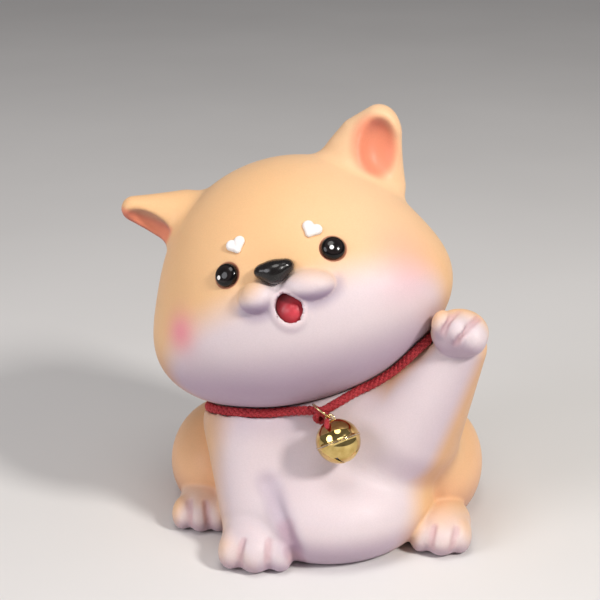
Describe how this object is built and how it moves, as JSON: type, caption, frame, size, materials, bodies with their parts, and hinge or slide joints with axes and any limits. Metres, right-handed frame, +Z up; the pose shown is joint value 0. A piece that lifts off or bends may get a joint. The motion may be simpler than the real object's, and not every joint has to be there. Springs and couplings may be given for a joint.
{
  "type": "figural coin bank",
  "caption": "Hollow sitting-puppy coin bank with a raised paw, a slot in the head, a plug in the base, and a braided collar with a swinging jingle bell.",
  "frame": {"origin": "middle of the bounding box's footprint, on the surface that the bank stands on", "axes": "+Z up, the puppy faces -Y, +X is the side of its raised paw"},
  "size_m": [0.193, 0.1606, 0.2187],
  "materials": {
    "vinyl_head": "matte airbrushed peach over warm white, blush on the cheeks",
    "vinyl_body": "matte airbrushed warm white, peach on the flanks and haunches",
    "gloss_black": "polished bead",
    "nose_black": "glossy",
    "mouth_red": "satin",
    "brow_white": "matte",
    "red_cord": "round braid with a slight sheen",
    "pale_gold_wire": "bright plated wire",
    "bell_gold": "mirror-bright plated sheet",
    "steel": "plain",
    "plug_pvc": "satin soft moulding"
  },
  "bodies": {
    "bank": {"head_shell": "vinyl_head", "body_shell": "vinyl_body", "left_eye": "gloss_black", "right_eye": "gloss_black", "nose": "nose_black", "mouth_insert": "mouth_red", "left_brow_heart": "brow_white", "right_brow_heart": "brow_white", "collar_cord": "red_cord", "collar_knot": "red_cord", "jump_ring": "pale_gold_wire"},
    "bell": {"bell_loop": "pale_gold_wire", "bell_upper_shell": "bell_gold", "bell_lower_shell": "bell_gold", "cord_end": "red_cord"},
    "pellet": {"bell_pellet": "steel"},
    "plug": {"outlet_plug": "plug_pvc"}
  },
  "joints": [
    {"name": "bell_swing", "type": "hinge", "parent": "bank", "child": "bell", "pos_m": [0.01866, -0.05452, 0.0787], "axis": [-0.9945, -0.1045, 0], "range_deg": [0, 60]},
    {"name": "pellet_roll", "type": "hinge", "parent": "bell", "child": "pellet", "pos_m": [0.02366, -0.05932, 0.068], "axis": [-0.9945, -0.1045, 0], "range_deg": [-60, 60]},
    {"name": "plug_pull", "type": "slide", "parent": "bank", "child": "plug", "axis": [0, 0, -1], "range_m": [0, 0.03]}
  ]
}
